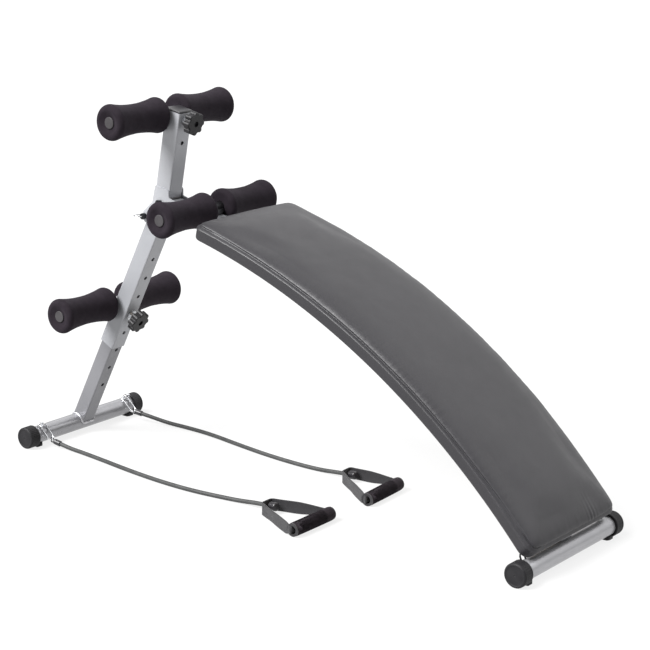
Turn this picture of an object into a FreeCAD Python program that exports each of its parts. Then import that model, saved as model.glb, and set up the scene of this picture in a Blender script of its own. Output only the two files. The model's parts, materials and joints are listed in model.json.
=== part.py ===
import FreeCAD, Part
import math
import os

# Decline sit up bench: a curved padded board on an arched rail, a round foot bar at the low
# end, a folding two-piece leg at the high end, three pairs of foam rollers and two rubber
# tube bands with grips.  Millimetres, +Z up, +X from the leg towards the low end.  The
# origin is on the floor, midway between the two foot bars, in the bench's middle plane.

V = FreeCAD.Vector
UP, SIDE, AHEAD = V(0, 0, 1), V(0, 1, 0), V(1, 0, 0)
SIDES = (("right", -1), ("left", 1))

# ---- foot bars and their rubber caps ----
FOOT_X = 637.0              # each foot bar's axis from the origin
FOOT_Z = 24.0               # height of a foot bar's axis
FOOT_R, FOOT_WALL = 19.0, 2.0
CAP_END, CAP_MOUTH = 176.0, 150.0    # outer and inner ends of a cap, from the middle plane
CAP_R = 24.0
CAP_FLOOR = 4.0             # thickness of a cap's closed end
TONGUE, TONGUE_WIDTH, TONGUE_HEIGHT = 16.0, 28.0, 11.0    # a cap's foot under the bar

# ---- leg: outer sleeve, inner post, fold pivot ----
LEG_LEAN, POST_LEAN = 27.5, 11.0     # degrees from vertical, tops towards +X
PIVOT_Z = 558.0
TUBE, TUBE_WALL, TUBE_CORNER = 40.0, 2.0, 3.0
SLEEVE, SLEEVE_FOOT, SLEEVE_TOP = 39.4, 225.0, 14.0   # width, lower end, rise above the pivot
INNER, INNER_LENGTH = 34.4, 434.0
HOLE_R, HOLE_PITCH, FIRST_HOLE = 4.5, 50.0, 116.0     # along the leg from the foot bar's axis
KNOB_HOLE = 4               # the lower knob is in this hole, counted from the first as 0
INNER_HOLES, SLEEVE_HOLES = range(0, 7), range(3, 8)
BOLT_R, FIT = 5.0, 0.05     # pivot bolt, and the radial clearance of a turning fit
PLATE, PIVOT_RELIEF = 3.0, 25.5
FOLD_LIMIT = 75.0           # degrees from open to folded

# ---- upper post ----
POST_LENGTH, POST_KNOB_Z, POST_SPARE_Z = 202.0, 187.0, 137.0

# ---- arched rail and pad: arcs about one centre ----
ARC_X, ARC_Z = -531.0, -961.0
RAIL_TOP_R = 1541.0
RAIL_MID_R = RAIL_TOP_R - TUBE / 2
RAIL_HEAD = 5.5             # degrees from vertical, before the cuts round the pivot
RAIL_TAIL_SHORT = 0.54      # degrees that the rail stops short of the low foot bar's axis
PAD_HEAD, PAD_TAIL = 14.0, 49.3      # degrees from vertical
PAD_WIDTH, PAD_THICK, PAD_CORNER, PAD_EDGE = 300.0, 48.0, 22.0, 14.0
BOARD_THICK, BOARD_INSET = 12.0, 9.0
PAD_BOLT_ANGLES = (17.5, 25.5, 37.5, 45.5)
PAD_BOLT_R = 4.0

# ---- rollers and their axles ----
AXLE_R, AXLE_WALL = 11.0, 1.5
ROLLER_R, WAIST_R, ROLLER_NOSE = 37.5, 30.5, 10.0
ROLLER_IN, ROLLER_OUT = 25.0, 175.0  # ends of the foam, from the middle plane
MIDDLE_ROLLER_IN, MIDDLE_ROLLER_OUT = 21.0, 167.0
DISH, DISH_R, DISH_FLOOR_R = 5.0, 24.0, 13.5    # hollow in a roller's outer end
MIDDLE_AXLE_ANGLE = 11.2
PLUG_R, PLUG_FLANGE, PLUG_GAP, PLUG_DEPTH = 12.2, 2.0, 0.3, 12.0

# ---- knobs ----
KNOB_R, KNOB_LOBES, KNOB_THICK, KNOB_REACH = 25.0, 8, 16.0, 32.0
KNOB_LOBE_R, KNOB_HUB_R = 6.0, 11.0
STUD_R, WASHER_R, WASHER = 4.0, 12.0, 2.0

# ---- lock pin behind the sleeve ----
LOCK_DOWN, LOCK_BACK, LOCK_R = 48.0, 25.6, 5.0
LOCK_RING_R, LOCK_WIRE_R = 11.0, 1.3

# ---- eye staples, snap hooks, bands and grips ----
EYE_ANGLE, EYE_Y, EYE_HALF, EYE_WIRE_R = 22.0, 136.0, 7.0, 1.75
EYE_TOP_R, EYE_BEND_R = 31.0, 5.0
HOOK_ANGLES = {-1: 46.0, 1: 40.0}    # how steeply the right and the left hook hang
HOOK_R, HOOK_WIRE_R, HOOK_LENGTH = 8.0, 2.0, 28.0
HOOK_RIDE = FOOT_R + HOOK_WIRE_R + 0.4
LINK_R, LINK_WIRE_R = 5.0, 1.3
FERRULE_R, FERRULE_LENGTH = 6.2, 17.0
BAND_R = 4.5
GRIP_R, GRIP_CORE_R, GRIP_BORE_R, GRIP_LENGTH, GRIP_Z = 14.0, 10.5, 8.0, 120.0, 14.2
STRAP_WIDTH, STRAP_THICK, STRAP_LOW = 25.0, 2.6, 1.2
STRAP_NOSE, STRAP_CORNER = 30.0, 9.0
STOPPER_R, STOPPER_LENGTH = 9.0, 20.0

# Grip centre (x, y), its turn about vertical, and the strap's nose from it, for each side.
GRIPS = {"right": ((162.0, -165.0), 0.0, (-126.0, 13.0)),
         "left": ((168.0, 59.5), 3.8, (-121.0, 45.5))}

# The bands' routes on the floor, from ferrule to strap.
BAND_ROUTES = {
    "right": [(-575.5, -127.0, 11.5), (-549.0, -125.0, 6.6), (-508.0, -125.0, 4.7),
              (-444.0, -133.0, 4.6), (-343.0, -148.0, 4.6), (-249.0, -157.0, 4.6),
              (-164.0, -158.0, 4.6), (-96.0, -151.0, 4.6), (-40.0, -144.5, 5.4),
              (3.0, -143.6, 10.4), (39.5, -146.0, 13.6)],
    "left": [(-573.5, 129.1, 18.5), (-545.0, 132.5, 15.0), (-503.0, 141.0, 7.3),
             (-452.0, 148.5, 4.6), (-376.0, 145.0, 4.6), (-272.0, 126.0, 4.6),
             (-174.0, 111.5, 4.6), (-88.0, 106.0, 4.6), (-28.0, 106.5, 5.2),
             (12.0, 105.2, 9.8), (48.5, 102.4, 13.4)],
}

MADE = []


def save(name, shape):
    """Write one sub-part, as a single solid or a group of separate solids."""
    solids = shape.Solids
    clean = solids[0] if len(solids) == 1 else Part.makeCompound(solids)
    bad = "" if clean.isValid() else "  INVALID"
    clean.exportStep(f"parts/{name}.step")
    MADE.append(name)
    print(f"{name}: {len(solids)} solid(s), {clean.Volume / 1000:.2f} cm3{bad}")


def radial(angle):
    """Outward direction on an arc in the XZ plane, at an angle from vertical towards +X."""
    a = math.radians(angle)
    return V(math.sin(a), 0, math.cos(a))


def along(angle):
    """Direction of travel on such an arc, towards +X and down."""
    a = math.radians(angle)
    return V(math.cos(a), 0, -math.sin(a))


def arc_point(radius, angle, y=0.0):
    return V(ARC_X, y, ARC_Z) + radial(angle) * radius


def placed(origin, lean):
    """A local frame with z along a leaning post and x square to its front face."""
    return FreeCAD.Placement(origin, FreeCAD.Rotation(SIDE, lean))


LEG = placed(V(-FOOT_X, 0, FOOT_Z), LEG_LEAN)
PIVOT_RISE = (PIVOT_Z - FOOT_Z) / math.cos(math.radians(LEG_LEAN))
PIVOT = LEG.multVec(V(0, 0, PIVOT_RISE))
POST = placed(PIVOT, POST_LEAN)


def rod(start, end, radius):
    return Part.makeCylinder(radius, (end - start).Length, start, end - start)


def cross_rod(x, z, y0, y1, radius):
    return rod(V(x, y0, z), V(x, y1, z), radius)


def pipe(start, end, outer, wall):
    return rod(start, end, outer).cut(rod(start, end, outer - wall))


def rounded_bar(width, corner, z0, z1):
    """A square bar along local z with rounded long edges."""
    bar = Part.makeBox(width, width, z1 - z0, V(-width / 2, -width / 2, z0))
    long_edges = [e for e in bar.Edges if abs(e.tangentAt(0).z) > 0.9]
    return bar.makeFillet(corner, long_edges)


def square_tube(width, z0, z1):
    inside = rounded_bar(width - 2 * TUBE_WALL, TUBE_CORNER - TUBE_WALL, z0 - 1, z1 + 1)
    return rounded_bar(width, TUBE_CORNER, z0, z1).cut(inside)


def put(shape, placement):
    moved = shape.copy()
    moved.Placement = placement.multiply(moved.Placement)
    return moved


def fused(shapes):
    return shapes[0].multiFuse(shapes[1:]).removeSplitter()


def mirrored(shape):
    return shape.mirror(V(0, 0, 0), SIDE)


def hex_head(centre, axis, across, height):
    """A hexagon prism standing on centre along axis."""
    corner = across / math.sqrt(3)
    points = [V(corner * math.cos(k * math.pi / 3), corner * math.sin(k * math.pi / 3), 0)
              for k in range(7)]
    prism = Part.Face(Part.makePolygon(points)).extrude(V(0, 0, height))
    return put(prism, FreeCAD.Placement(centre, FreeCAD.Rotation(UP, axis)))


def hole_height(k):
    return FIRST_HOLE + k * HOLE_PITCH


def arc_box(half_width, r0, r1, a0, a1):
    """A block bent along the arc between two radii and two angles."""
    corners = [V(0, -half_width, r0), V(0, half_width, r0), V(0, half_width, r1),
               V(0, -half_width, r1), V(0, -half_width, r0)]
    face = Part.Face(Part.makePolygon(corners))
    face.rotate(V(0, 0, 0), SIDE, a0)
    block = face.revolve(V(0, 0, 0), SIDE, a1 - a0)
    block.translate(V(ARC_X, 0, ARC_Z))
    return block


# ---------------------------------------------------------------- foot bars
def foot_bar(x):
    end = CAP_END - CAP_FLOOR
    return pipe(V(x, -end, FOOT_Z), V(x, end, FOOT_Z), FOOT_R, FOOT_WALL)


def foot_cap(x, side):
    """A rubber cup over the bar's end, with a flat tongue that runs inward under the bar."""
    body = cross_rod(x, FOOT_Z, CAP_MOUTH, CAP_END, CAP_R)
    body = body.makeChamfer(3.0, [e for e in body.Edges if e.CenterOfMass.y > CAP_END - 0.1])
    tongue = Part.makeBox(TONGUE_WIDTH, TONGUE, TONGUE_HEIGHT,
                          V(x - TONGUE_WIDTH / 2, CAP_MOUTH - TONGUE, 0))
    inner = [e for e in tongue.Edges
             if abs(e.tangentAt(0).z) > 0.9 and e.CenterOfMass.y < CAP_MOUTH - 1]
    tongue = tongue.makeFillet(4.0, inner)
    cup = fused([body, tongue])
    cup = cup.cut(cross_rod(x, FOOT_Z, CAP_MOUTH - 2 * TONGUE, CAP_END - CAP_FLOOR, FOOT_R))
    return cup if side > 0 else mirrored(cup)


def eye_staple(x, towards, side):
    """A bent wire eye welded to the bar, leaning towards the bench's middle."""
    lean = radial(EYE_ANGLE * towards)
    axis = V(x, side * EYE_Y, FOOT_Z)

    def at(y, r):
        return axis + V(0, y, 0) + lean * r

    h, b, top = EYE_HALF, EYE_BEND_R, EYE_TOP_R
    slant = b * (1 - math.sqrt(0.5))
    edges = [Part.LineSegment(at(-h, FOOT_R - 1), at(-h, top - b)).toShape(),
             Part.Arc(at(-h, top - b), at(-h + slant, top - slant), at(-h + b, top)).toShape(),
             Part.LineSegment(at(-h + b, top), at(h - b, top)).toShape(),
             Part.Arc(at(h - b, top), at(h - slant, top - slant), at(h, top - b)).toShape(),
             Part.LineSegment(at(h, top - b), at(h, FOOT_R - 1)).toShape()]
    wire = Part.Wire(edges)
    ring = Part.Wire(Part.makeCircle(EYE_WIRE_R, at(-h, FOOT_R - 1), lean))
    staple = wire.makePipeShell([ring], True, False)
    return staple.cut(rod(V(x, -200, FOOT_Z), V(x, 200, FOOT_Z), FOOT_R))


# ---------------------------------------------------------------- leg and posts
def leg_sleeve():
    tube = square_tube(SLEEVE, SLEEVE_FOOT, PIVOT_RISE + SLEEVE_TOP)
    for k in SLEEVE_HOLES:
        tube = tube.cut(rod(V(-TUBE, 0, hole_height(k)), V(TUBE, 0, hole_height(k)), HOLE_R))
    tube = tube.cut(cross_rod(0, PIVOT_RISE, -TUBE, TUBE, BOLT_R + FIT))
    return put(tube, LEG)


def inner_post():
    tube = square_tube(INNER, 0, INNER_LENGTH)
    for k in INNER_HOLES:
        tube = tube.cut(rod(V(-TUBE, 0, hole_height(k)), V(TUBE, 0, hole_height(k)), HOLE_R))
    return put(tube, LEG).cut(rod(V(-FOOT_X, -100, FOOT_Z), V(-FOOT_X, 100, FOOT_Z), FOOT_R))


def foot_weld():
    """The weld round the inner post where it is coped onto the foot bar."""
    foot, rise, out = INNER / 2 + 2.6, 5.0, 1.0
    low = rounded_bar(2 * foot, TUBE_CORNER, 0, FOOT_R + 1.5)
    high = rounded_bar(INNER + 2 * out, TUBE_CORNER, FOOT_R + 1.5, FOOT_R + rise)
    bead = fused([low, high]).cut(rounded_bar(INNER, TUBE_CORNER, -1, FOOT_R + 2 * rise))
    bead = put(bead, LEG)
    below = cross_rod(-FOOT_X, FOOT_Z, -100, 100, FOOT_R)
    skin = cross_rod(-FOOT_X, FOOT_Z, -foot, foot, FOOT_R + 4.0)
    return bead.cut(below).common(skin)


def upper_post():
    post = put(square_tube(TUBE, 0, POST_LENGTH), POST)
    post = post.cut(cross_rod(PIVOT.x, PIVOT.z, -TUBE, TUBE, PIVOT_RELIEF))
    for z in (POST_KNOB_Z, POST_SPARE_Z):
        hole = rod(V(-TUBE, 0, z), V(TUBE, 0, z), HOLE_R)
        post = post.cut(put(hole, POST))
    return post


def upper_post_cap():
    width = TUBE - 2 * TUBE_WALL
    flange = rounded_bar(TUBE, TUBE_CORNER, POST_LENGTH, POST_LENGTH + 4.5)
    rim = [e for e in flange.Edges if e.CenterOfMass.z > POST_LENGTH + 4]
    flange = flange.makeChamfer(1.5, rim)
    plug = rounded_bar(width, TUBE_CORNER - TUBE_WALL, POST_LENGTH - 4.0, POST_LENGTH)
    return put(fused([flange, plug]), POST)


def rail():
    """The arched square tube, coped onto the low foot bar.

    Its upper end is cut three ways: flat against the upper post, clear of the sleeve's top
    as that turns about the pivot, and along the folded sleeve's front face.
    """
    tail = math.degrees(math.atan2(FOOT_X - ARC_X, FOOT_Z - ARC_Z)) - RAIL_TAIL_SHORT
    outer = arc_box(TUBE / 2, RAIL_TOP_R - TUBE, RAIL_TOP_R, RAIL_HEAD, tail)
    long_edges = [e for e in outer.Edges if e.Length > 500]
    outer = outer.makeFillet(TUBE_CORNER, long_edges)
    inner = arc_box(TUBE / 2 - TUBE_WALL, RAIL_TOP_R - TUBE + TUBE_WALL,
                    RAIL_TOP_R - TUBE_WALL, RAIL_HEAD - 1, tail + 1)
    tube = outer.cut(inner)
    for frame, gap in ((POST, TUBE / 2), (placed(PIVOT, -25), PIVOT_RELIEF),
                       (placed(PIVOT, LEG_LEAN - FOLD_LIMIT), SLEEVE / 2 + 1)):
        tube = tube.cut(put(Part.makeBox(200, 100, 800, V(gap - 200, -50, -400)), frame))
    tube = tube.cut(rod(V(FOOT_X, -100, FOOT_Z), V(FOOT_X, 100, FOOT_Z), FOOT_R))
    for angle in PAD_BOLT_ANGLES:
        tube = tube.cut(rod(arc_point(RAIL_TOP_R - 2 * TUBE, angle),
                            arc_point(RAIL_TOP_R + TUBE, angle), HOLE_R))
    return tube


def pivot_plates():
    """Two cheeks that join the upper post and the rail, and carry the pivot bolt."""
    def leg(down, back):
        return PIVOT + LEG.Rotation.multVec(V(-back, 0, -down))

    def post(rise, ahead):
        return PIVOT + POST.Rotation.multVec(V(ahead, 0, rise))

    edge = TUBE / 2 - 1
    reach = 8.6
    outline = [post(36, -edge), post(36, edge), post(20, edge + 3),
               arc_point(RAIL_TOP_R - 2, 9.6), arc_point(RAIL_TOP_R - TUBE + 2, 9.6),
               leg(44, -edge + 3), leg(LOCK_DOWN + 14, 4),
               leg(LOCK_DOWN + reach, LOCK_BACK + 4), leg(LOCK_DOWN + 2, LOCK_BACK + reach),
               leg(LOCK_DOWN - 12, LOCK_BACK + 6), leg(8, edge + 1)]
    face = Part.Face(Part.makePolygon(outline + outline[:1]))
    plate = face.extrude(V(0, PLATE, 0))
    plate = plate.makeFillet(4.0, [e for e in plate.Edges if abs(e.tangentAt(0).y) > 0.9])
    plate.translate(V(0, TUBE / 2, 0))
    plate = plate.cut(cross_rod(PIVOT.x, PIVOT.z, 0, TUBE, BOLT_R + FIT))
    lock = lock_point()
    plate = plate.cut(cross_rod(lock.x, lock.z, 0, TUBE, LOCK_R + FIT))
    return Part.makeCompound([plate, mirrored(plate)])


def pivot_bolt():
    face = TUBE / 2 + PLATE
    shank = cross_rod(PIVOT.x, PIVOT.z, -face, face + 10, BOLT_R)
    head = hex_head(V(PIVOT.x, -face, PIVOT.z), -SIDE, 17.0, 6.4)
    return fused([shank, head])


def pivot_nut():
    face = TUBE / 2 + PLATE
    nut = hex_head(V(PIVOT.x, face, PIVOT.z), SIDE, 17.0, 8.0)
    return nut.cut(cross_rod(PIVOT.x, PIVOT.z, 0, TUBE, BOLT_R))


def lock_point():
    return PIVOT + LEG.Rotation.multVec(V(-LOCK_BACK, 0, -LOCK_DOWN))


def lock_pin():
    """Headed pin through both cheeks, close behind the sleeve, so the leg can't splay."""
    at = lock_point()
    face = TUBE / 2 + PLATE
    shank = cross_rod(at.x, at.z, -face - 1, face + 6, LOCK_R)
    head = cross_rod(at.x, at.z, -face - 8, -face - 0.4, LOCK_R + 1.6)
    pin = fused([shank, head])
    return pin.cut(lock_ring(LOCK_WIRE_R + 0.3))


def lock_ring(wire_r=LOCK_WIRE_R):
    """The pin's wire pull ring, lying back level from the hole through its head."""
    at = lock_point()
    y = -(TUBE / 2 + PLATE) - 4.5
    return Part.makeTorus(LOCK_RING_R, wire_r, V(at.x - LOCK_RING_R, y, at.z), UP)


# ---------------------------------------------------------------- pad
def pad_board():
    inset = math.degrees(BOARD_INSET / RAIL_TOP_R)
    board = arc_box(PAD_WIDTH / 2 - BOARD_INSET, RAIL_TOP_R, RAIL_TOP_R + BOARD_THICK,
                    PAD_HEAD + inset, PAD_TAIL - inset)
    corners = [e for e in board.Edges if abs(e.Length - BOARD_THICK) < 0.01]
    return board.makeFillet(PAD_CORNER - BOARD_INSET, corners)


def pad_cushion():
    pad = arc_box(PAD_WIDTH / 2, RAIL_TOP_R, RAIL_TOP_R + PAD_THICK, PAD_HEAD, PAD_TAIL)
    corners = [e for e in pad.Edges if abs(e.Length - PAD_THICK) < 0.01]
    pad = pad.makeFillet(PAD_CORNER, corners)
    top = max(pad.Faces, key=lambda f: (f.CenterOfMass - V(ARC_X, 0, ARC_Z)).Length
              if f.Area > 100000 else 0)
    pad = pad.makeFillet(PAD_EDGE, top.Edges)
    return pad.cut(pad_board())


def pad_bolt(angle):
    """A hex bolt up through the rail into the board."""
    under = RAIL_TOP_R - TUBE
    shank = rod(arc_point(under - 1.6, angle), arc_point(RAIL_TOP_R + BOARD_THICK - 3, angle),
                PAD_BOLT_R)
    washer = rod(arc_point(under - 1.6, angle), arc_point(under - 0.03, angle), 9.0)
    head = hex_head(arc_point(under - 1.6, angle), -radial(angle), 13.0, 5.3)
    return fused([shank, washer, head])


def tee_nut(angle):
    """A flanged nut let into the top of the board."""
    top = RAIL_TOP_R + BOARD_THICK - 0.1
    flange = rod(arc_point(top - 1.4, angle), arc_point(top, angle), 10.0)
    barrel = rod(arc_point(top - 10, angle), arc_point(top - 1.4, angle), 5.5)
    thread = rod(arc_point(top - 20, angle), arc_point(top + 5, angle), PAD_BOLT_R + FIT)
    return fused([flange, barrel]).cut(thread)


def drilled_board():
    board = pad_board()
    for angle in PAD_BOLT_ANGLES:
        board = board.cut(rod(arc_point(RAIL_TOP_R - 5, angle),
                              arc_point(RAIL_TOP_R + BOARD_THICK + 1, angle), 5.5))
        board = board.cut(rod(arc_point(RAIL_TOP_R + BOARD_THICK - 1.5, angle),
                              arc_point(RAIL_TOP_R + BOARD_THICK + 1, angle), 10.0))
    return board


# ---------------------------------------------------------------- rollers
def roller(centre, inner, outer, side):
    """Waisted foam roller: each rounded end runs smoothly into one long hollow arc.

    Its outer end is dished round the axle's plug.
    """
    half = (outer - inner) / 2
    reach, nose_r = half - ROLLER_NOSE, ROLLER_R - ROLLER_NOSE
    rise = WAIST_R - nose_r
    hollow = (reach ** 2 + rise ** 2 - ROLLER_NOSE ** 2) / (2 * (ROLLER_NOSE - rise))
    share = hollow / (hollow + ROLLER_NOSE)
    join_y, join_r = reach * share, WAIST_R + hollow - (rise + hollow) * share
    middle_turn = math.atan2(join_r - nose_r, join_y - reach) / 2
    nose_y = reach + ROLLER_NOSE * math.cos(middle_turn)
    nose_top = nose_r + ROLLER_NOSE * math.sin(middle_turn)

    def arc(*points):
        return Part.Arc(*[V(0, y, r) for y, r in points]).toShape()

    def line(*points):
        return Part.LineSegment(*[V(0, y, r) for y, r in points]).toShape()

    bore, dish = AXLE_R + FIT, half - DISH
    edges = [line((-half, bore), (dish, bore)), line((dish, bore), (dish, DISH_FLOOR_R)),
             line((dish, DISH_FLOOR_R), (half, DISH_R)), line((half, DISH_R), (half, nose_r)),
             arc((half, nose_r), (nose_y, nose_top), (join_y, join_r)),
             arc((join_y, join_r), (0, WAIST_R), (-join_y, join_r)),
             arc((-join_y, join_r), (-nose_y, nose_top), (-half, nose_r)),
             line((-half, nose_r), (-half, bore))]
    solid = Part.Face(Part.Wire(edges)).revolve(V(0, 0, 0), SIDE, 360)
    solid = solid if side > 0 else mirrored(solid)
    solid.translate(centre + V(0, side * (inner + outer) / 2, 0))
    return solid


def axle(centre, outer):
    ends = V(0, outer - DISH + PLUG_GAP, 0)
    return pipe(centre - ends, centre + ends, AXLE_R, AXLE_WALL)


def axle_plugs(centre, outer):
    """The flanged plugs that close an axle's ends and keep the foam on."""
    plugs = []
    for _, side in SIDES:
        face = centre + V(0, side * (outer - DISH + PLUG_GAP), 0)
        flange = rod(face, face + V(0, side * PLUG_FLANGE, 0), PLUG_R)
        rim = [e for e in flange.Edges
               if abs(e.CenterOfMass.y - face.y - side * PLUG_FLANGE) < 0.01]
        flange = flange.makeFillet(1.2, rim)
        stem = rod(face - V(0, side * PLUG_DEPTH, 0), face, AXLE_R - AXLE_WALL)
        plugs.append(fused([flange, stem]))
    return Part.makeCompound(plugs)


def saddle(centre):
    """The seat welded between the middle axle and the rail's top face."""
    block = arc_box(16.0, RAIL_TOP_R, RAIL_TOP_R + AXLE_R + 2, MIDDLE_AXLE_ANGLE - 0.55,
                    MIDDLE_AXLE_ANGLE + 0.55)
    return block.cut(rod(centre - V(0, 50, 0), centre + V(0, 50, 0), AXLE_R))


# ---------------------------------------------------------------- knobs
def knob(frame, face, height):
    """Lobed hand knob on its hub, with a blind recess in the middle of its face."""
    tip = face + KNOB_REACH
    seat = tip - KNOB_THICK
    pitch = KNOB_R - KNOB_LOBE_R
    lobes = [Part.makeCylinder(KNOB_LOBE_R, KNOB_THICK,
                               V(seat, pitch * math.cos(a), height + pitch * math.sin(a)), AHEAD)
             for a in (2 * math.pi * k / KNOB_LOBES for k in range(KNOB_LOBES))]
    head = fused([Part.makeCylinder(pitch + 2, KNOB_THICK, V(seat, 0, height), AHEAD)] + lobes)
    rims = [e for e in head.Edges if abs(e.CenterOfMass.x - tip) < 0.01]
    head = head.makeChamfer(1.5, rims)
    hub_foot = face + WASHER + 6
    hub = Part.makeCone(KNOB_HUB_R - 2, KNOB_HUB_R + 3, seat - hub_foot, V(hub_foot, 0, height),
                        AHEAD)
    whole = fused([head, hub])
    recess = Part.makeCylinder(6.0, 5.0, V(tip - 5, 0, height), AHEAD)
    bore = Part.makeCylinder(STUD_R, seat - hub_foot + 8, V(hub_foot, 0, height), AHEAD)
    return put(whole.cut(recess).cut(bore), frame)


def knob_stud(frame, face, height, inside):
    """The threaded stud with its collar nut, from inside the tube's wall into the knob."""
    shank = Part.makeCylinder(STUD_R, KNOB_REACH - 8 + inside, V(face - inside, 0, height), AHEAD)
    collar = hex_head(V(face + WASHER, 0, height), AHEAD, 13.0, 6.0)
    return put(fused([shank, collar]), frame)


def knob_washer(frame, face, height):
    ring = Part.makeCylinder(WASHER_R, WASHER - 0.2, V(face + 0.2, 0, height), AHEAD)
    return put(ring.cut(Part.makeCylinder(STUD_R, 40, V(face - 20, 0, height), AHEAD)), frame)


# ---------------------------------------------------------------- snap hooks
def hook_frame(side):
    """Local x down the hook, y across it, z square to it, from its upper bend's centre."""
    angle = HOOK_ANGLES[side]
    lean = math.radians(angle - EYE_ANGLE)
    leg = V(-FOOT_X, side * (EYE_Y - EYE_HALF), FOOT_Z) + radial(EYE_ANGLE) * (
        HOOK_RIDE / math.cos(lean))
    reach = HOOK_R - HOOK_WIRE_R - EYE_WIRE_R - 0.4
    across = SIDE * -side
    turn = FreeCAD.Rotation(along(angle), across, along(angle).cross(across), "XYZ")
    return FreeCAD.Placement(leg + along(angle) * reach, turn)


GATE_START, GATE_END = 1.0, HOOK_LENGTH - 1.0


def snap_hook(side):
    """A round wire hook: one long loop left open along the side that the gate closes."""
    r, length = HOOK_R, HOOK_LENGTH
    edges = [Part.LineSegment(V(GATE_START - 0.5, r, 0), V(0, r, 0)).toShape(),
             Part.Arc(V(0, r, 0), V(-r, 0, 0), V(0, -r, 0)).toShape(),
             Part.LineSegment(V(0, -r, 0), V(length, -r, 0)).toShape(),
             Part.Arc(V(length, -r, 0), V(length + r, 0, 0), V(length, r, 0)).toShape(),
             Part.LineSegment(V(length, r, 0), V(GATE_END + 0.5, r, 0)).toShape()]
    start = V(GATE_START - 0.5, r, 0)
    section = Part.Wire(Part.makeCircle(HOOK_WIRE_R, start, AHEAD))
    return put(Part.Wire(edges).makePipeShell([section], True, False), hook_frame(side))


def hook_gate(side):
    gate = Part.makeCylinder(HOOK_WIRE_R - 0.3, GATE_END - GATE_START, V(GATE_START, HOOK_R, 0),
                             AHEAD)
    gate = gate.makeFillet(0.8, [e for e in gate.Edges if e.Length < 15])
    return put(gate, hook_frame(side))


def band_start(name):
    """A band's first point, and the direction that the band leaves it in."""
    first, second = [V(*p) for p in BAND_ROUTES[name][:2]]
    return first, (second - first).normalize()


def ferrule(name, side):
    """Crimped cap on the band's end, with the closed link that hangs in the hook."""
    first, way = band_start(name)
    cap = rod(first - way * FERRULE_LENGTH, first, FERRULE_R)
    cap = cap.makeFillet(1.2, [e for e in cap.Edges if e.Length > 30])
    frame = hook_frame(side)
    low = frame.multVec(V(HOOK_LENGTH + HOOK_R, 0, 0))
    link_centre = low + way * (LINK_R - LINK_WIRE_R - HOOK_WIRE_R - 0.4)
    link = Part.makeTorus(LINK_R, LINK_WIRE_R, link_centre,
                          frame.Rotation.multVec(V(0, 1, 0)))
    neck = rod(link_centre + way * (LINK_R - 0.6), first - way * (FERRULE_LENGTH - 1), 1.9)
    return fused([cap, link, neck])


# ---------------------------------------------------------------- bands
def band_path(name, points):
    """Straight runs joined by tangent arcs; each arc is as large as its two runs allow."""
    points = [V(*p) for p in points]
    edges, last, radii = [], points[0], []
    for before, here, after in zip(points, points[1:], points[2:]):
        back, on = before - here, after - here
        shorter = min(back.Length, on.Length)
        turn = math.pi - back.getAngle(on)
        trim = 0.45 * shorter
        radii.append(trim / math.tan(turn / 2))
        start = here + back * (trim / back.Length)
        end = here + on * (trim / on.Length)
        inward = (back * (1 / back.Length) + on * (1 / on.Length)).normalize()
        sag = radii[-1] * (1 / math.cos(turn / 2) - 1)
        edges.append(Part.LineSegment(last, start).toShape())
        edges.append(Part.Arc(start, here + inward * sag, end).toShape())
        last = end
    edges.append(Part.LineSegment(last, points[-1]).toShape())
    print(f"{name} band radii:", ", ".join(f"{r:.0f}" for r in radii))
    return Part.Wire(edges)


def band_tube(name):
    path = band_path(name, BAND_ROUTES[name])
    first, way = band_start(name)
    section = Part.Wire(Part.makeCircle(BAND_R, first, way))
    tube = path.makePipeShell([section], True, False)
    ratio = tube.Volume / (math.pi * BAND_R ** 2 * path.Length)
    print(f"{name} band: {path.Length:.1f} mm long, volume / (section x length) = {ratio:.4f}")
    return tube


# ---------------------------------------------------------------- grips
def grip_frame(name):
    (x, y), turn, _ = GRIPS[name]
    return FreeCAD.Placement(V(x, y, 0), FreeCAD.Rotation(UP, turn))


def strap_loop(name, offset):
    """The strap's plan outline as a face: a flat nose, two sides and the run in the grip."""
    _, _, (nose_x, nose_y) = GRIPS[name]
    half, nose = GRIP_LENGTH / 2 + 4.5, STRAP_NOSE / 2
    corners = [V(0, -half, 0), V(0, half, 0), V(nose_x, nose_y + nose, 0),
               V(nose_x, nose_y - nose, 0)]
    ring = Part.makePolygon(corners + corners[:1])
    if offset:
        ring = ring.makeOffset2D(offset, 2)
    solid = Part.Face(ring).extrude(V(0, 0, STRAP_WIDTH))
    upright = [e for e in solid.Edges if abs(e.tangentAt(0).z) > 0.9]
    solid = solid.makeFillet(STRAP_CORNER + offset, upright)
    solid.translate(V(0, 0, STRAP_LOW))
    return solid


def strap(name):
    """Webbing on edge: out of one end of the grip, round the nose and back in."""
    loop = strap_loop(name, STRAP_THICK / 2).cut(strap_loop(name, -STRAP_THICK / 2))
    room = GRIP_LENGTH / 2 + 0.1
    grip_room = Part.makeBox(4 * GRIP_R, 2 * room, 4 * GRIP_R, V(1 - GRIP_R, -room, -GRIP_R))
    loop = loop.cut(grip_room).cut(cross_rod(0, GRIP_Z, -room, room, GRIP_R + 0.3))
    loop = put(loop, grip_frame(name))
    end, before = [V(*p) for p in (BAND_ROUTES[name][-1], BAND_ROUTES[name][-2])]
    way = (end - before).normalize()
    loop = loop.cut(rod(end - way * 25, end + way * 12, BAND_R + 0.1))
    return max(loop.Solids, key=lambda solid: solid.Volume)


def stopper(name):
    """Plug crimped on the band's end inside the strap's nose, so it can't pull through."""
    end, before = [V(*p) for p in (BAND_ROUTES[name][-1], BAND_ROUTES[name][-2])]
    way = (end - before).normalize()
    plug = rod(end, end + way * STOPPER_LENGTH, STOPPER_R)
    return plug.makeFillet(4.0, [e for e in plug.Edges if e.Length > 30])


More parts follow.
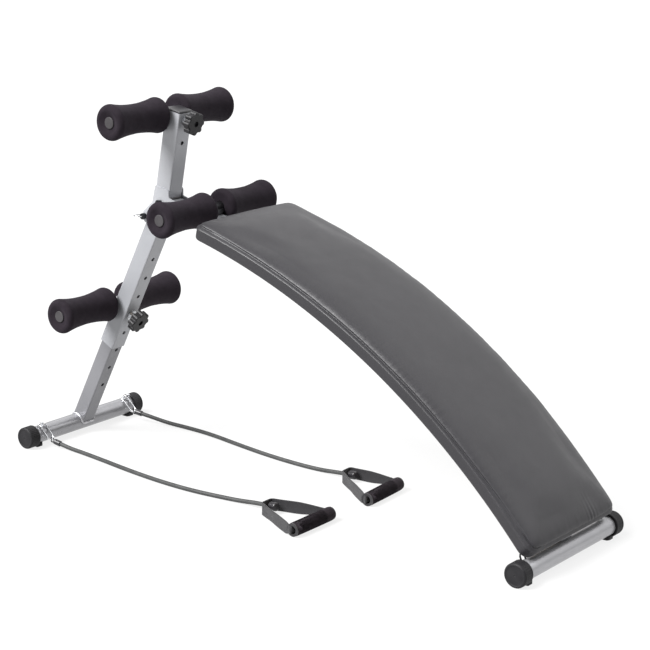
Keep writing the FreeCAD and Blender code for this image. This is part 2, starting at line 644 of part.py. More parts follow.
def grip_core(name):
    """Moulded tube that the strap runs through, flanged past the foam at each end."""
    half = GRIP_LENGTH / 2
    core = cross_rod(0, GRIP_Z, -half, half, GRIP_CORE_R)
    rims = [cross_rod(0, GRIP_Z, side * (half - 2.5), side * half, GRIP_R - 0.6)
            for side in (-1, 1)]
    core = fused([core] + rims).cut(cross_rod(0, GRIP_Z, -half - 1, half + 1, GRIP_BORE_R))
    return put(core, grip_frame(name))


def grip_foam(name):
    half = GRIP_LENGTH / 2 - 2.6
    foam = cross_rod(0, GRIP_Z, -half, half, GRIP_R)
    foam = foam.makeFillet(2.5, [e for e in foam.Edges if e.Length > 50])
    return put(foam.cut(cross_rod(0, GRIP_Z, -half - 1, half + 1, GRIP_CORE_R)), grip_frame(name))


# ---------------------------------------------------------------- build
def main():
    os.makedirs("parts", exist_ok=True)
    save("rail", rail())
    save("upper_post", upper_post())
    save("upper_post_cap", upper_post_cap())
    save("pivot_plates", pivot_plates())
    save("pivot_bolt", pivot_bolt())
    save("pivot_nut", pivot_nut())
    save("lock_pin", lock_pin())
    save("lock_pin_ring", lock_ring())
    save("leg_sleeve", leg_sleeve())
    save("inner_post", inner_post())
    save("foot_weld", foot_weld())
    save("front_foot_bar", foot_bar(FOOT_X))
    save("rear_foot_bar", foot_bar(-FOOT_X))
    save("pad_board", drilled_board())
    save("pad_cushion", pad_cushion())
    save("pad_bolts", Part.makeCompound([pad_bolt(a) for a in PAD_BOLT_ANGLES]))
    save("pad_tee_nuts", Part.makeCompound([tee_nut(a) for a in PAD_BOLT_ANGLES]))

    upper = POST.multVec(V(-TUBE / 2 - AXLE_R, 0, POST_KNOB_Z))
    middle = arc_point(RAIL_TOP_R + AXLE_R, MIDDLE_AXLE_ANGLE)
    lower = LEG.multVec(V(-SLEEVE / 2 - AXLE_R, 0, hole_height(KNOB_HOLE)))
    save("middle_axle_saddle", saddle(middle))
    for level, centre, inner, outer in (("upper", upper, ROLLER_IN, ROLLER_OUT),
                                        ("middle", middle, MIDDLE_ROLLER_IN, MIDDLE_ROLLER_OUT),
                                        ("lower", lower, ROLLER_IN, ROLLER_OUT)):
        save(f"{level}_axle", axle(centre, outer))
        save(f"{level}_axle_plugs", axle_plugs(centre, outer))
        for name, side in SIDES:
            save(f"{level}_roller_{name}", roller(centre, inner, outer, side))

    for level, frame, face, height in (("upper", POST, TUBE / 2, POST_KNOB_Z),
                                       ("lower", LEG, SLEEVE / 2, hole_height(KNOB_HOLE))):
        save(f"{level}_knob", knob(frame, face, height))
        save(f"{level}_knob_stud", knob_stud(frame, face, height, TUBE_WALL))
        save(f"{level}_knob_washer", knob_washer(frame, face, height))

    for name, side in SIDES:
        save(f"front_cap_{name}", foot_cap(FOOT_X, side))
        save(f"rear_cap_{name}", foot_cap(-FOOT_X, side))
        save(f"front_eye_{name}", eye_staple(FOOT_X, -1, side))
        save(f"rear_eye_{name}", eye_staple(-FOOT_X, 1, side))
        save(f"snap_hook_{name}", snap_hook(side))
        save(f"hook_gate_{name}", hook_gate(side))
        save(f"ferrule_{name}", ferrule(name, side))
        save(f"band_{name}", band_tube(name))
        save(f"band_stopper_{name}", stopper(name))
        save(f"strap_{name}", strap(name))
        save(f"grip_core_{name}", grip_core(name))
        save(f"grip_{name}", grip_foam(name))
    print(len(MADE), "sub-parts")


main()
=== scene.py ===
import json
import math

import bmesh
import bpy
from mathutils import Matrix, Vector, noise


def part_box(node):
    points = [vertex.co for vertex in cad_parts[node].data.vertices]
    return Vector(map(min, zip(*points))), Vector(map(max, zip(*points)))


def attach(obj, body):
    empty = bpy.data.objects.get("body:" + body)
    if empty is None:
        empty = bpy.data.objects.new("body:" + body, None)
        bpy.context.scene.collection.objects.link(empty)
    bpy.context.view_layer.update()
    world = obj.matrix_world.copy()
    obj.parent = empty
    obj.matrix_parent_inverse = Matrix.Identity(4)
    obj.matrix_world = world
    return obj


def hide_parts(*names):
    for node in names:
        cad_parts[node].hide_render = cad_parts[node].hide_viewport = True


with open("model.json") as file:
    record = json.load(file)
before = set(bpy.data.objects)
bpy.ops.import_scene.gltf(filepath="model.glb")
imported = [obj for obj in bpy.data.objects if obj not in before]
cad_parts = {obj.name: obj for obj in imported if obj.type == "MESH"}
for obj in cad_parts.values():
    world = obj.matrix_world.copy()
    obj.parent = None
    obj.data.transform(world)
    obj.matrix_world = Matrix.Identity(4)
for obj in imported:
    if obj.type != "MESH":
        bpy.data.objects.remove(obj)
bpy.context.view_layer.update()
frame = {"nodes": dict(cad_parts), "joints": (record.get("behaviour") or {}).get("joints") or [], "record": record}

NODES = frame["nodes"]
RECORD = frame["record"]
BODY_OF = {node: body for body, nodes in RECORD["behaviour"]["bodies"].items() for node in nodes}
SLOT_OF = {part["node"]: part["material_slot"] for part in RECORD["subparts"]}
JOINT_AT = {joint["name"]: Vector(joint["pos_m"]) for joint in frame["joints"]
            if "pos_m" in joint}
SIDES = (("right", -1), ("left", 1))
UP, SIDE, AHEAD = Vector((0, 0, 1)), Vector((0, 1, 0)), Vector((1, 0, 0))

# ---- measures of the bench, in metres and degrees, the same as in the CAD source ----
FOOT_X, FOOT_Z, FOOT_R = 0.637, 0.024, 0.019
LEG_LEAN, POST_LEAN = 27.5, 11.0
INNER, TUBE, TUBE_CORNER = 0.0344, 0.040, 0.003
ARC_X, ARC_Z, RAIL_TOP_R = -0.531, -0.961, 1.541
PAD_HEAD, PAD_TAIL, PAD_WIDTH, PAD_CORNER = 14.0, 49.3, 0.300, 0.022
BOARD_THICK, BOARD_INSET = 0.012, 0.009
AXLE_R, ROLLER_R, WAIST_R, ROLLER_NOSE = 0.011, 0.0375, 0.0305, 0.010
DISH, DISH_R, DISH_FLOOR_R = 0.005, 0.024, 0.0135
GRIP_R, GRIP_CORE_R, GRIP_LENGTH, GRIP_Z = 0.014, 0.0105, 0.120, 0.0142
BAND_R, STRAP_WIDTH, STRAP_THICK, STRAP_LOW = 0.0045, 0.025, 0.0026, 0.0012
STRAP_NOSE = 0.030
GRIPS = {"right": ((0.162, -0.165), 0.0, (-0.126, 0.013)),
         "left": ((0.168, 0.0595), 3.8, (-0.121, 0.0455))}
BAND_ROUTES = {
    "right": [(-0.5755, -0.127, 0.0115), (-0.549, -0.125, 0.0066), (-0.508, -0.125, 0.0047),
              (-0.444, -0.133, 0.0046), (-0.343, -0.148, 0.0046), (-0.249, -0.157, 0.0046),
              (-0.164, -0.158, 0.0046), (-0.096, -0.151, 0.0046), (-0.040, -0.1445, 0.0054),
              (0.003, -0.1436, 0.0104), (0.0395, -0.146, 0.0136)],
    "left": [(-0.5735, 0.1291, 0.0185), (-0.545, 0.1325, 0.015), (-0.503, 0.141, 0.0073),
             (-0.452, 0.1485, 0.0046), (-0.376, 0.145, 0.0046), (-0.272, 0.126, 0.0046),
             (-0.174, 0.1115, 0.0046), (-0.088, 0.106, 0.0046), (-0.028, 0.1065, 0.0052),
             (0.012, 0.1052, 0.0098), (0.0485, 0.1024, 0.0134)],
}


# ---------------------------------------------------------------- materials
class Shader:
    """A Principled material and the few nodes that its pattern needs."""

    def __init__(self, name, **sockets):
        self.material = bpy.data.materials.new(name)
        self.material.use_nodes = True
        self.tree = self.material.node_tree
        self.shader = self.tree.nodes["Principled BSDF"]
        self.coords = self.tree.nodes.new("ShaderNodeTexCoord").outputs["Object"]
        for socket, value in sockets.items():
            self.shader.inputs[socket.replace("_", " ")].default_value = value
        self.height = None

    def node(self, kind, inputs=(), **settings):
        made = self.tree.nodes.new(kind)
        for key, value in settings.items():
            setattr(made, key, value)
        for socket, value in dict(inputs).items():
            if isinstance(value, bpy.types.NodeSocket):
                self.tree.links.new(value, made.inputs[socket])
            else:
                made.inputs[socket].default_value = value
        return made

    def noise(self, scale, detail=3.0, roughness=0.55, stretch=None):
        coords = self.coords
        if stretch:
            coords = self.node("ShaderNodeMapping", {"Vector": coords, "Scale": stretch}).outputs[0]
        return self.node("ShaderNodeTexNoise", {"Vector": coords, "Scale": scale, "Detail": detail,
                                                "Roughness": roughness}).outputs["Fac"]

    def cells(self, scale, feature="F1", randomness=1.0):
        return self.node("ShaderNodeTexVoronoi", {"Vector": self.coords, "Scale": scale,
                                                  "Randomness": randomness},
                         feature=feature).outputs["Distance"]

    def ramp(self, factor, *stops):
        made = self.node("ShaderNodeValToRGB", {"Fac": factor})
        elements = made.color_ramp.elements
        for _ in stops[2:]:
            elements.new(0.5)
        for element, (position, colour) in zip(elements, stops):
            element.position = position
            element.color = (*colour, 1.0) if hasattr(colour, "__len__") else (colour,) * 3 + (1.0,)
        return made.outputs["Color"]

    def colour(self, factor, *stops):
        self.tree.links.new(self.ramp(factor, *stops), self.shader.inputs["Base Color"])

    def roughness(self, factor, low, high):
        spread = self.node("ShaderNodeMapRange", {"Value": factor, "To Min": low, "To Max": high})
        self.tree.links.new(spread.outputs["Result"], self.shader.inputs["Roughness"])

    def bump(self, factor, distance, strength=1.0):
        inputs = {"Height": factor, "Distance": distance, "Strength": strength}
        if self.height:
            inputs["Normal"] = self.height
        self.height = self.node("ShaderNodeBump", inputs).outputs["Normal"]
        self.tree.links.new(self.height, self.shader.inputs["Normal"])


def paint(name, dark, light, metallic, low, high):
    """Powder coat with a metal flake: slight clouding, uneven gloss and fine orange peel."""
    s = Shader(name, Metallic=metallic, Coat_Weight=0.12, Coat_Roughness=0.25)
    cloud = s.noise(9.0, 4.0)
    s.colour(cloud, (0.30, dark), (0.72, light))
    s.roughness(s.noise(70.0, 3.0), low, high)
    s.bump(s.noise(700.0, 2.0), 0.00005, 0.5)
    s.bump(s.noise(1900.0, 1.0), 0.00003, 0.5)
    return s.material


def metal(name, dark, light, low, high, grain=900.0, depth=0.00002):
    s = Shader(name, Metallic=1.0)
    s.colour(s.noise(60.0, 4.0), (0.3, dark), (0.7, light))
    s.roughness(s.noise(160.0, 3.0), low, high)
    s.bump(s.noise(grain, 2.0), depth, 0.5)
    return s.material


def plastic(name, dark, light, low, high, grain=1600.0, depth=0.00006, specular=0.45):
    s = Shader(name, Specular_IOR_Level=specular)
    s.colour(s.noise(45.0, 4.0), (0.3, dark), (0.7, light))
    s.roughness(s.noise(220.0, 3.0), low, high)
    s.bump(s.cells(grain), depth, 0.6)
    return s.material


def foam(name, dark, light, pore, depth):
    """Closed cell foam: tiny pores, a faint nap at grazing angles, soft mottling."""
    s = Shader(name, Specular_IOR_Level=0.12, Sheen_Weight=0.03, Sheen_Roughness=0.6,
               Sheen_Tint=(0.62, 0.55, 0.66, 1.0))
    s.colour(s.noise(55.0, 5.0), (0.3, dark), (0.72, light))
    s.roughness(s.noise(130.0, 3.0), 0.72, 0.92)
    s.bump(s.noise(220.0, 3.0), 0.00018, 0.6)
    s.bump(s.cells(pore), depth, 0.7)
    return s.material


def leatherette(name):
    """Embossed vinyl: rounded grain cells with creases between them, under a satin coat."""
    s = Shader(name, Specular_IOR_Level=0.40, Coat_Weight=0.14, Coat_Roughness=0.38)
    cloud = s.noise(6.0, 5.0, 0.6)
    s.colour(cloud, (0.28, (0.0165, 0.0156, 0.0182)), (0.74, (0.0215, 0.0204, 0.0236)))
    s.roughness(s.noise(38.0, 4.0), 0.42, 0.54)
    s.bump(s.noise(48.0, 3.0), 0.0004, 0.35)
    crease = s.ramp(s.cells(620.0, "DISTANCE_TO_EDGE"), (0.0, 0.0), (0.16, 1.0))
    s.bump(crease, 0.00012, 0.55)
    s.bump(s.noise(2400.0, 2.0), 0.00004, 0.5)
    return s.material


def webbing(name):
    """Woven tape: ribs across the strap and fainter warp lines along it, laid out by its UVs."""
    s = Shader(name, Specular_IOR_Level=0.28, Sheen_Weight=0.12, Sheen_Roughness=0.5)
    uv = s.node("ShaderNodeTexCoord").outputs["UV"]
    ribs = s.node("ShaderNodeTexWave", {"Vector": uv, "Scale": 210.0, "Distortion": 0.6,
                                        "Detail": 2.0, "Detail Scale": 3.0},
                  bands_direction="X", wave_profile="SIN").outputs["Fac"]
    warp = s.node("ShaderNodeTexWave", {"Vector": uv, "Scale": 160.0, "Distortion": 0.5},
                  bands_direction="Y", wave_profile="SIN").outputs["Fac"]
    s.colour(ribs, (0.1, (0.010, 0.0095, 0.011)), (0.9, (0.030, 0.029, 0.032)))
    s.roughness(s.noise(260.0, 3.0), 0.55, 0.78)
    s.bump(ribs, 0.00028, 0.8)
    s.bump(warp, 0.00012, 0.5)
    return s.material


def plywood(name):
    s = Shader(name, Specular_IOR_Level=0.3)
    grain = s.noise(11.0, 6.0, 0.65, stretch=(1.0, 9.0, 9.0))
    s.colour(grain, (0.30, (0.36, 0.24, 0.13)), (0.52, (0.56, 0.42, 0.26)),
             (0.75, (0.66, 0.52, 0.34)))
    s.roughness(grain, 0.55, 0.75)
    s.bump(grain, 0.0002, 0.4)
    return s.material


def weld_metal(name):
    s = Shader(name, Metallic=0.75)
    s.colour(s.noise(150.0, 4.0), (0.3, (0.30, 0.30, 0.32)), (0.7, (0.62, 0.62, 0.64)))
    s.roughness(s.noise(300.0, 3.0), 0.26, 0.48)
    s.bump(s.noise(420.0, 3.0), 0.0002, 0.6)
    return s.material


MATERIALS = {
    "post_paint": paint("post_paint", (0.335, 0.34, 0.36), (0.385, 0.39, 0.41), 0.18, 0.34, 0.48),
    "foot_paint": paint("foot_paint", (0.25, 0.25, 0.262), (0.31, 0.31, 0.325), 0.55, 0.24, 0.36),
    "bar_paint": paint("bar_paint", (0.33, 0.33, 0.345), (0.40, 0.40, 0.415), 0.45, 0.28, 0.42),
    "black_steel": metal("black_steel", (0.018, 0.018, 0.020), (0.040, 0.040, 0.044), 0.35, 0.5),
    "zinc": metal("zinc", (0.52, 0.53, 0.55), (0.70, 0.71, 0.73), 0.20, 0.36),
    "chrome_wire": metal("chrome_wire", (0.74, 0.75, 0.77), (0.86, 0.87, 0.89), 0.07, 0.16),
    "black_wire": metal("black_wire", (0.030, 0.030, 0.033), (0.060, 0.060, 0.065), 0.25, 0.4),
    "cap_rubber": plastic("cap_rubber", (0.008, 0.0077, 0.009), (0.015, 0.0144, 0.016), 0.50, 0.66,
                          1300.0, 0.00008, 0.24),
    "knob_plastic": plastic("knob_plastic", (0.006, 0.0055, 0.0065), (0.011, 0.0103, 0.012), 0.38,
                            0.54, specular=0.3),
    "cap_plastic": plastic("cap_plastic", (0.014, 0.013, 0.015), (0.026, 0.025, 0.028), 0.26, 0.40),
    "plug_plastic": plastic("plug_plastic", (0.026, 0.0235, 0.0255), (0.040, 0.037, 0.0395), 0.42,
                            0.58),
    "roller_foam": foam("roller_foam", (0.0095, 0.0066, 0.0098), (0.0150, 0.0112, 0.0155), 1500.0,
                        0.00012),
    "grip_foam": foam("grip_foam", (0.0120, 0.0090, 0.0118), (0.0185, 0.0145, 0.0180), 1900.0,
                      0.00009),
    "band_rubber": plastic("band_rubber", (0.032, 0.033, 0.033), (0.050, 0.051, 0.051), 0.46, 0.62,
                           1400.0, 0.00005, 0.3),
    "strap_web": webbing("strap_web"),
    "pad_leather": leatherette("pad_leather"),
    "board_wood": plywood("board_wood"),
}
WELD = weld_metal("weld_metal")
# Zinc painted dark as painted shade, for the middle axle and its saddle, which sit in the shade between the middle
# rollers.
PAINTED_SHADE_ZINC = metal("zinc_painted_shade", (0.06, 0.06, 0.065), (0.12, 0.12, 0.125), 0.3, 0.45)
# Parts given a darker copy of the finish of their kind. For the middle axle, its saddle and the sleeve, the darker
# copy is painted shade; the inner post's copy is just darker.
OWN_FINISH = {
    "inner_post": paint("inner_paint", (0.16, 0.16, 0.172), (0.20, 0.20, 0.212), 0.35, 0.30, 0.44),
    # The post paint made darker for the sleeve: painted shade.
    "leg_sleeve": paint("sleeve_paint_shaded", (0.265, 0.27, 0.287), (0.305, 0.31, 0.327), 0.18, 0.34,
                        0.48),
    "middle_axle": PAINTED_SHADE_ZINC,
    "middle_axle_saddle": PAINTED_SHADE_ZINC,
}


def finish_cad_nodes():
    for node, cad in NODES.items():
        cad.data.materials.clear()
        cad.data.materials.append(OWN_FINISH.get(node, MATERIALS[SLOT_OF[node]]))


# ---------------------------------------------------------------- geometry helpers
def radial(angle):
    a = math.radians(angle)
    return Vector((math.sin(a), 0, math.cos(a)))


def arc_point(radius, angle, y=0.0):
    return Vector((ARC_X, y, ARC_Z)) + radial(angle) * radius


def leaning(origin, lean):
    """The frame of a post that leans by this angle towards +X, with z along it."""
    return Matrix.Translation(origin) @ Matrix.Rotation(math.radians(lean), 4, "Y")


LEG = leaning((-FOOT_X, 0, FOOT_Z), LEG_LEAN)
POST = leaning(JOINT_AT["leg_fold"], POST_LEAN)


def make(name, points, faces, material, smooth=True):
    mesh = bpy.data.meshes.new(name)
    mesh.from_pydata([tuple(p) for p in points], [], faces)
    mesh.validate()
    made = bpy.data.objects.new(name, mesh)
    bpy.context.scene.collection.objects.link(made)
    mesh.materials.append(material)
    for polygon in mesh.polygons:
        polygon.use_smooth = smooth
    return made


def outward(piece):
    """Turns every face of a closed piece outwards."""
    work = bmesh.new()
    work.from_mesh(piece.data)
    bmesh.ops.recalc_face_normals(work, faces=work.faces)
    work.to_mesh(piece.data)
    work.free()
    return piece


def stands_for(piece, *nodes):
    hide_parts(*nodes)
    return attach(piece, BODY_OF[nodes[0]])


def applied(piece):
    """The piece with its modifiers made real."""
    bpy.context.view_layer.update()
    evaluated = piece.evaluated_get(bpy.context.evaluated_depsgraph_get())
    mesh = bpy.data.meshes.new_from_object(evaluated)
    piece.modifiers.clear()
    piece.data = mesh
    return piece


def lattice(rows, columns, wrap_rows=False, wrap_columns=True):
    """Quads of a grid of points that is stored row after row."""
    faces = []
    for i in range(rows if wrap_rows else rows - 1):
        for j in range(columns if wrap_columns else columns - 1):
            k, m = (i + 1) % rows, (j + 1) % columns
            faces.append((i * columns + j, i * columns + m, k * columns + m, k * columns + j))
    return faces


def turned(name, profile, centre, material, segments=96, shape=None):
    """A closed ring of profile points (y, r) turned about the line through centre along Y."""
    points = []
    for y, r in profile:
        for k in range(segments):
            a = 2 * math.pi * k / segments
            y2, r2 = shape(y, r, a) if shape else (y, r)
            points.append(centre + Vector((r2 * math.cos(a), y2, r2 * math.sin(a))))
    return outward(make(name, points, lattice(len(profile), segments, wrap_rows=True), material))


def between(a, b, steps):
    """Points from a to b, without b."""
    return [tuple(p + (q - p) * k / steps for p, q in zip(a, b)) for k in range(steps)]


def tube_along(name, line, radius, material, sides=16, ripple=0.0, pitch=0.003, closed=False):
    """A round bead along a line of points, with weld-like ripples when asked."""
    points, run, count = [], 0.0, len(line)
    for i, here in enumerate(line):
        before = line[i - 1] if i or closed else here
        after = line[(i + 1) % count] if i + 1 < count or closed else here
        way = (after - before).normalized()
        across = way.cross(UP if abs(way.z) < 0.9 else AHEAD).normalized()
        rise = across.cross(way)
        run += (here - line[i - 1]).length if i else 0.0
        swell = 1 + ripple * abs(math.sin(math.pi * run / pitch)) - ripple / 2
        swell += 0.5 * ripple * noise.noise(here * 300)
        for k in range(sides):
            a = 2 * math.pi * k / sides
            points.append(here + (across * math.cos(a) + rise * math.sin(a)) * radius * swell)
    faces = lattice(count, sides, wrap_rows=closed)
    if not closed:
        faces += [tuple(range(sides))[::-1], tuple(range((count - 1) * sides, count * sides))]
    return outward(make(name, points, faces, material))


# ---------------------------------------------------------------- pad
PAD_LENGTH = math.radians(PAD_TAIL - PAD_HEAD) * RAIL_TOP_R
PAD_MIDDLE = (PAD_HEAD + PAD_TAIL) / 2
LONG_CELLS, WIDE_CELLS, CORNER_CELLS = 210, 40, 4
SEAM_HEIGHT, SEAM_INSET, PAD_TOP = 0.0285, 0.0012, 0.0450
CROWN_POWER, CORNER_BLEND, LEAST_CORNER = 8, 0.0093, 0.009
CAVITY_TOP, CAVITY_INSET = BOARD_THICK + 0.0003, BOARD_INSET - 0.0003
HELD_RINGS = 6  # loops from the cavity to the foot of the wall, which the board holds
PRESSURE, SWELL_FRAMES, EVENING_ROUNDS, QUICK_CROWN, SWELL_CAP = 4.0, 20, 40, 0.006, 0.0060
STILL = 1e-7  # a shorter move than this is none
# The crevice at the seam and the welt below it: depth or height, half width and place.
CREVICE_DEPTH, CREVICE_HALF = 0.0050, 0.0025
WELT_HEIGHT, WELT_HALF, WELT_DROP = 0.0011, 0.0024, 0.0052
WALL_REACH, DETAIL_REACH = 0.012, 0.060  # how far in from the edge the wall and its details go
# Gathers along the shoulder: height, place above the seam, spread upwards and inwards.
GATHER_HEIGHT, GATHER_AT, GATHER_HALF = 0.0006, 0.012, 0.0065
GATHER_INSET, GATHER_FADE = 0.014, 0.010
# Pulled folds at the tail: height, place across, half width, length and pitch.
FOLD_HEIGHT, FOLD_Y, FOLD_HALF, FOLD_LENGTH, FOLD_PITCH = 0.0013, 0.060, 0.018, 0.020, 0.011
UNEVENNESS, UNEVEN_PER_METRE = 0.0005, 22  # the top's slow unevenness and its noise scale


def pad_outline(inset, radius):
    """Points round the pad's plan, inset from its edge, with corners of this radius."""
    core_s, core_y = (half - inset - radius for half in (PAD_LENGTH / 2, PAD_WIDTH / 2))
    points = []
    turn = math.pi / (4 * CORNER_CELLS)
    for quarter, (cells, length) in enumerate(((LONG_CELLS, 2 * core_s), (WIDE_CELLS, 2 * core_y),
                                               (LONG_CELLS, 2 * core_s), (WIDE_CELLS, 2 * core_y))):
        a = math.pi / 2 * quarter
        way, out = (math.cos(a), math.sin(a)), (math.sin(a), -math.cos(a))
        sx = (-1, 1, 1, -1)[quarter] * core_s
        sy = (-1, -1, 1, 1)[quarter] * core_y
        for k in range(CORNER_CELLS):
            b = a - math.pi / 4 + k * turn - math.pi / 2
            points.append((sx + radius * math.cos(b), sy + radius * math.sin(b)))
        for k in range(cells):
            t = length * k / cells
            points.append((sx + way[0] * t + out[0] * radius, sy + way[1] * t + out[1] * radius))
        for k in range(CORNER_CELLS):
            b = a + k * turn - math.pi / 2
            ex, ey = sx + way[0] * length, sy + way[1] * length
            points.append((ex + radius * math.cos(b), ey + radius * math.sin(b)))
    return points


def pad_place(s, y, height):
    return arc_point(RAIL_TOP_R + height, PAD_MIDDLE + math.degrees(s / RAIL_TOP_R), y)


def crown(s, y):
    """Height of the cover's top: steep at the seam, then ever flatter to the middle."""
    sides = (PAD_LENGTH / 2 - abs(s), PAD_WIDTH / 2 - abs(y))
    reach = -CORNER_BLEND * math.log(sum(math.exp(-side / CORNER_BLEND) for side in sides))
    share = min(max((reach - SEAM_INSET) / (PAD_WIDTH / 2 - SEAM_INSET), 0.0), 1.0)
    return SEAM_HEIGHT + (PAD_TOP - SEAM_HEIGHT) * (1 - (1 - share) ** CROWN_POWER) ** 0.5


def pad_fill(ring, height_at):
    """A grid of points across the plan inside a ring, by blending its four sides."""
    long, wide = LONG_CELLS + 2 * CORNER_CELLS, WIDE_CELLS + 2 * CORNER_CELLS
    low, right = ring[:long + 1], ring[long:long + wide + 1]
    high = ring[long + wide:2 * long + wide + 1][::-1]
    left = (ring[2 * long + wide:] + ring[:1])[::-1]
    grid = {}
    for i in range(long + 1):
        for j in range(wide + 1):
            u, v = i / long, j / wide
            p = [(1 - v) * low[i][k] + v * high[i][k] + (1 - u) * left[j][k] + u * right[j][k]
                 - (1 - u) * (1 - v) * low[0][k] - u * (1 - v) * low[long][k]
                 - (1 - u) * v * high[0][k] - u * v * high[long][k] for k in (0, 1)]
            grid[i, j] = (p[0], p[1], height_at(p[0], p[1]))
    return grid, long, wide


def pad_rings():
    """(inset, height) of each loop from the board's cavity to the top, where crown() has it."""
    rings = [(0.020, CAVITY_TOP), (CAVITY_INSET, CAVITY_TOP), (CAVITY_INSET, 0.006),
             (CAVITY_INSET, 0.0006), (0.005, 0.0003), (0.0022, 0.0008), (0.0008, 0.0030)]
    rings += [(0.0006, SEAM_HEIGHT - down) for down in (0.0215, 0.017, 0.013, 0.010, 0.0075,
                                                        0.0055, 0.004, 0.0027, 0.0013)]
    rings += [(SEAM_INSET, SEAM_HEIGHT)]
    rings += [(SEAM_INSET + further, None) for further in (
        0.0002, 0.0006, 0.0013, 0.0024, 0.004, 0.0065, 0.0095, 0.013, 0.017, 0.0215, 0.026, 0.0305,
        0.035, 0.0395)]
    return rings


def build_pad():
    rings = pad_rings()
    ring_points = []
    for inset, h in rings:
        if h is None:
            ring_points.append([(s, y, crown(s, y)) for s, y in pad_outline(inset, PAD_CORNER)])
        else:
            corner = max(PAD_CORNER - inset, LEAST_CORNER)
            ring_points.append([(s, y, h) for s, y in pad_outline(inset, corner)])
    count = len(ring_points[0])
    flat, faces = [p for ring in ring_points for p in ring], lattice(len(rings), count)
    for ring_index, height_at in ((len(rings) - 1, crown), (0, lambda s, y: CAVITY_TOP)):
        ring = ring_points[ring_index]
        grid, long, wide = pad_fill(ring, height_at)
        index = {}
        for (i, j), p in grid.items():
            if j == 0:
                index[i, j] = ring_index * count + i
            elif i == long:
                index[i, j] = ring_index * count + long + j
            elif j == wide:
                index[i, j] = ring_index * count + 2 * long + wide - i
            elif i == 0:
                index[i, j] = ring_index * count + (2 * long + 2 * wide - j) % count
            else:
                index[i, j] = len(flat)
                flat.append(p)
        for i in range(long):
            for j in range(wide):
                faces.append((index[i, j], index[i + 1, j], index[i + 1, j + 1], index[i, j + 1]))
    pad = outward(make("cushion", [pad_place(*p) for p in flat], faces,
                       MATERIALS["pad_leather"]))
    seam_ring = [h for _, h in rings].index(SEAM_HEIGHT)
    held = list(range(HELD_RINGS * count)) + list(range(seam_ring * count, (seam_ring + 1) * count))
    held += [p for p in range(count * len(rings), len(flat)) if flat[p][2] < BOARD_THICK + 0.001]
    pad.vertex_groups.new(name="held").add(held, 1.0, "REPLACE")
    return pad, flat


def pad_edge(s, y):
    """How far a point of the plan is from the pad's edge, and the way out to it."""
    past_s, past_y = abs(s) - PAD_LENGTH / 2 + PAD_CORNER, abs(y) - PAD_WIDTH / 2 + PAD_CORNER
    if past_s > 0 and past_y > 0:
        corner = Vector((math.copysign(past_s, s), math.copysign(past_y, y)))
        return PAD_CORNER - corner.length, corner.normalized()
    if past_s > past_y:
        return PAD_CORNER - past_s, Vector((math.copysign(1, s), 0))
    return PAD_CORNER - past_y, Vector((0, math.copysign(1, y)))


def swell(pad):
    """Fills the cover with cloth under pressure, held at the board and at the seam."""
    cloth = pad.modifiers.new("cloth", "CLOTH")
    settings = cloth.settings
    settings.effector_weights.gravity = 0.0
    settings.use_pressure = True
    settings.uniform_pressure_force = PRESSURE
    settings.quality = 5
    settings.mass = 0.3
    settings.tension_stiffness = settings.compression_stiffness = 18.0
    settings.shear_stiffness = 8.0
    settings.bending_stiffness = 0.8
    settings.vertex_group_mass = "held"
    scene = bpy.context.scene
    scene.frame_start, scene.frame_end = 1, SWELL_FRAMES
    cloth.point_cache.frame_end = SWELL_FRAMES
    for step in range(1, SWELL_FRAMES + 1):
        scene.frame_set(step)
    swollen = pad.evaluated_get(bpy.context.evaluated_depsgraph_get())
    moved = [v.co.copy() for v in swollen.data.vertices]
    pad.modifiers.clear()
    scene.frame_set(1)
    return moved


def evened(pad, steps, rounds):
    """The same moves with their small wrinkles averaged out; points that are held stay."""
    links = [[] for _ in steps]
    for edge in pad.data.edges:
        a, b = edge.vertices
        links[a].append(b)
        links[b].append(a)
    free = [i for i, step in enumerate(steps) if step.length > STILL]
    for _ in range(rounds):
        before = [step.copy() for step in steps]
        for i in free:
            steps[i] = sum((before[k] for k in links[i]), before[i]) / (len(links[i]) + 1)
    return steps


def bell(distance, half):
    return math.exp(-(distance / half) ** 2)


def edge_detail(s, y, above, ahead, up):
    """How far a point near the edge moves for the crevice, the welt and the gathers."""
    edge, side = pad_edge(s, y)
    if edge >= DETAIL_REACH or above + SEAM_HEIGHT <= 0.002:
        return Vector()
    outside = ahead * side.x + SIDE * side.y
    wall = 1.0 if edge < WALL_REACH else 0.0
    sewn = WELT_HEIGHT * bell(above + WELT_DROP, WELT_HALF)
    sewn -= CREVICE_DEPTH * bell(above, CREVICE_HALF)
    run, height = s * abs(side.y) + y * abs(side.x), above + SEAM_HEIGHT
    gather = noise.noise(Vector((run * 120, 3.7, height * 10)))
    gather += 0.6 * noise.noise(Vector((run * 240, 9.1, height * 20)))
    fade = bell(above - GATHER_AT, GATHER_HALF)
    fade *= math.exp(-max(edge - GATHER_INSET, 0) / GATHER_FADE)
    return outside * wall * sewn + (outside * 0.5 + up * 0.6) * GATHER_HEIGHT * gather * fade


def sew(pad):
    """Adds the crevice, the welt, the gathers and the folds, which the cloth is too coarse for."""
    for vertex in pad.data.vertices:
        p = vertex.co
        out = p - Vector((ARC_X, p.y, ARC_Z))
        above = out.length - RAIL_TOP_R - SEAM_HEIGHT
        s = math.radians(math.degrees(math.atan2(out.x, out.z)) - PAD_MIDDLE) * RAIL_TOP_R
        up = out.normalized()
        vertex.co += edge_detail(s, p.y, above, Vector((up.z, 0, -up.x)), up)
        if above > 0:
            vertex.co += up * UNEVENNESS * noise.noise(p * UNEVEN_PER_METRE)
            pull = bell(p.y - FOLD_Y, FOLD_HALF) * math.exp((s - PAD_LENGTH / 2) / FOLD_LENGTH)
            vertex.co += up * FOLD_HEIGHT * pull * math.sin(p.y * 2 * math.pi / FOLD_PITCH)


